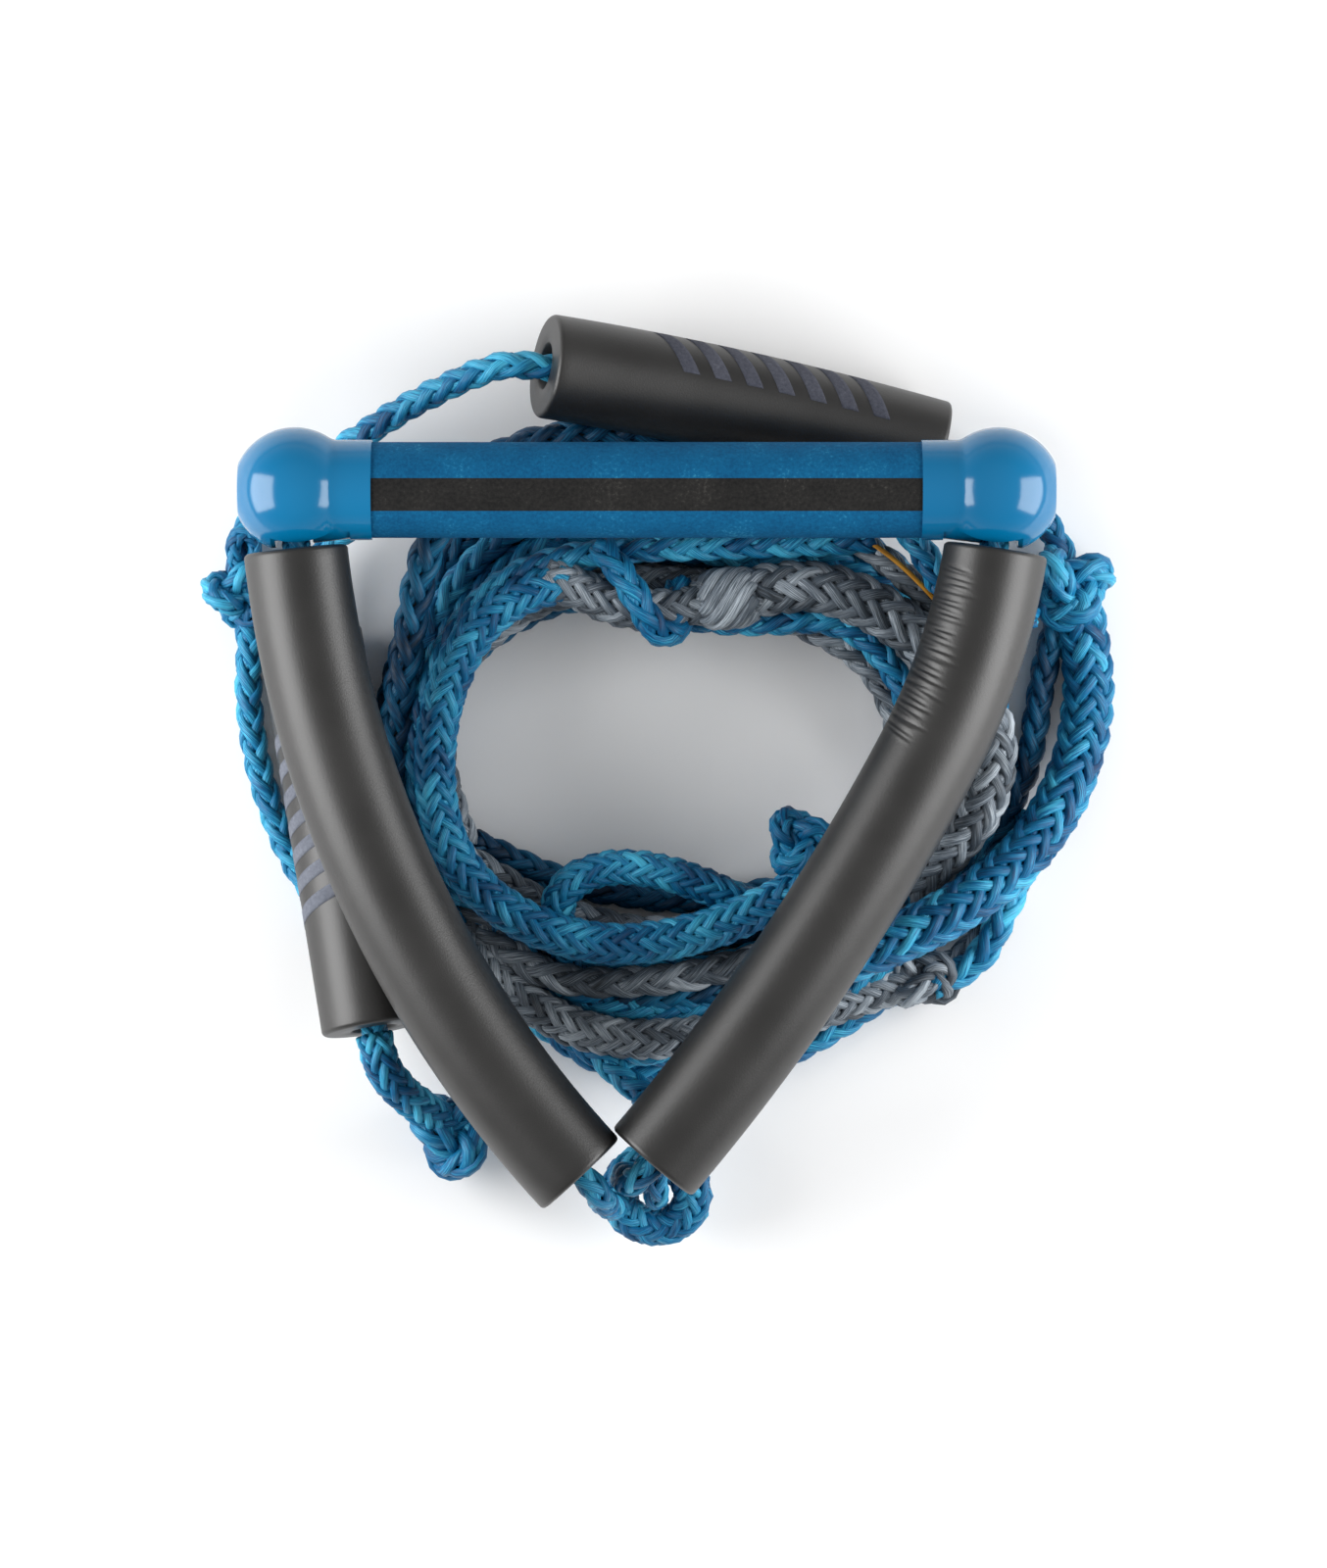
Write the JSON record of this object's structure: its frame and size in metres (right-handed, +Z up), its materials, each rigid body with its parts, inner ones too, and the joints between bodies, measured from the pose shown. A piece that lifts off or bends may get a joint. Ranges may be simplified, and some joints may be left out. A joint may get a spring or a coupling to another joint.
{
  "type": "tow rope handle",
  "caption": "Short bar handle with ball ends, a bridle of two foam-covered rope legs to an eye, and its sectioned braided tow rope in a loose coil with in-line foam floats.",
  "frame": {"origin": "on the floor under the middle of the handle, the bridle and the in-line floats (the box of everything but the free rope)", "axes": "+X along the handle bar, +Y from the bridle eye to the bar, +Z up from the floor it lies on"},
  "size_m": [0.286, 0.2939, 0.0816],
  "materials": {
    "rope_blue": "braided polyethylene, satin strands",
    "rope_grey": "braided polyethylene, satin strands",
    "foam_black": "closed-cell foam, soft matte skin",
    "core_foam": "closed-cell foam",
    "tube_aluminium": "drawn tube",
    "grip_blue": "suede-like textured foam rubber",
    "grip_black": "matte foam rubber",
    "cap_blue": "glossy moulded plastic",
    "plug_black": "moulded plastic"
  },
  "bodies": {
    "rope": {"top_float_rope": "rope_blue", "side_float_rope": "rope_blue", "left_rope": "rope_blue", "thick_blue_rope": "rope_blue", "boat_loop": "rope_blue", "lead_rope": "rope_blue", "hitch_loop": "rope_blue", "coil": "rope_blue", "right_knot": "rope_blue", "left_knot": "rope_blue", "bottom_left_knot": "rope_blue", "blue_hitch": "rope_blue", "dark_knot": "rope_blue", "hitch_knot": "rope_blue", "thick_grey_rope": "rope_grey", "tail_rope": "rope_grey", "lower_grey_knot": "rope_grey", "grey_whipping": "rope_grey"},
    "bridle": {"bridle_rope_left": "rope_blue", "bridle_rope_right": "rope_blue", "bridle_eye": "rope_blue", "stopper_knot_left": "rope_blue", "stopper_knot_right": "rope_blue", "bridle_float_left": "foam_black", "bridle_float_right": "foam_black"},
    "handle": {"handle_tube": "tube_aluminium", "foam_core": "core_foam", "grip_sleeve": "grip_blue", "grip_stripe": "grip_black", "end_plug_left": "plug_black", "end_plug_right": "plug_black", "cap_left": "cap_blue", "cap_right": "cap_blue"},
    "top_float": {"top_float": "foam_black"},
    "side_float": {"side_float": "foam_black"}
  },
  "joints": [
    {"name": "bridle_lift", "type": "hinge", "parent": "rope", "child": "bridle", "pos_m": [0.0028, -0.11873, 0.029], "axis": [1, 0, 0], "range_deg": [0, 75]},
    {"name": "handle_roll", "type": "hinge", "parent": "bridle", "child": "handle", "pos_m": [0, 0.09137, 0.062], "axis": [1, 0, 0], "range_deg": [-25, 5]},
    {"name": "top_float_slide", "type": "slide", "parent": "rope", "child": "top_float", "axis": [-0.9569, 0.1999, 0.2107], "range_m": [0, 0.008]},
    {"name": "side_float_slide", "type": "slide", "parent": "rope", "child": "side_float", "axis": [0.1642, -0.9767, 0.1381], "range_m": [0, 0.008]}
  ]
}
